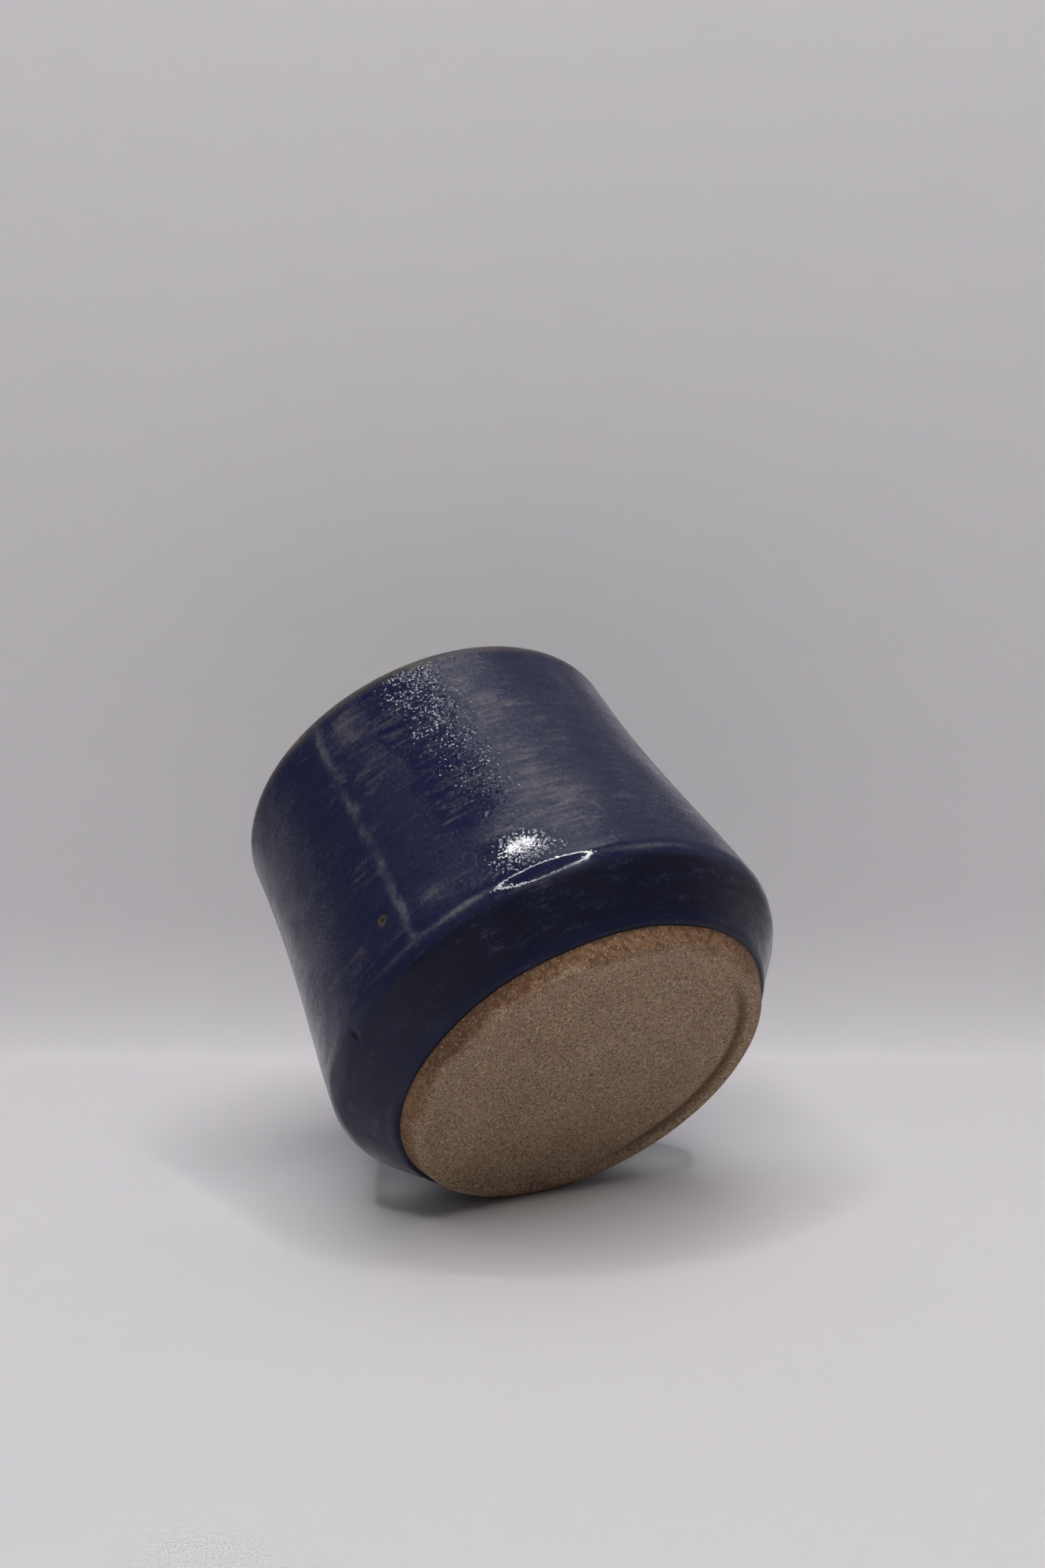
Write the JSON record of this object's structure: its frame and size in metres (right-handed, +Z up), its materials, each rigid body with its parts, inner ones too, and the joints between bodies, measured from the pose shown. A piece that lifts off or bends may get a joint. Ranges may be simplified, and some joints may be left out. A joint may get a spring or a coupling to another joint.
{
  "type": "handleless cup",
  "caption": "Handleless stoneware cup with a blue glazed wall that narrows from a low shoulder to an upright rim, on a bare clay foot with a shallow turned recess.",
  "frame": {"origin": "centre of the foot ring, on the plane that the cup stands on", "axes": "+Z up along the cup's axis, from the foot to the rim; +X and +Y are level, with +Y away from the picture's camera"},
  "size_m": [0.0898, 0.0898, 0.0768],
  "materials": {
    "bare_stoneware": "unglazed sandy brown stoneware, matt, with fine light and dark grog specks and a toasted edge at the glaze",
    "blue_glaze": "semi-gloss cobalt blue glaze, mottled with grey-blue haze and fine level streaks"
  },
  "bodies": {
    "root": {"stoneware_body": "bare_stoneware", "outer_glaze": "blue_glaze", "liner_glaze": "blue_glaze"}
  },
  "joints": []
}
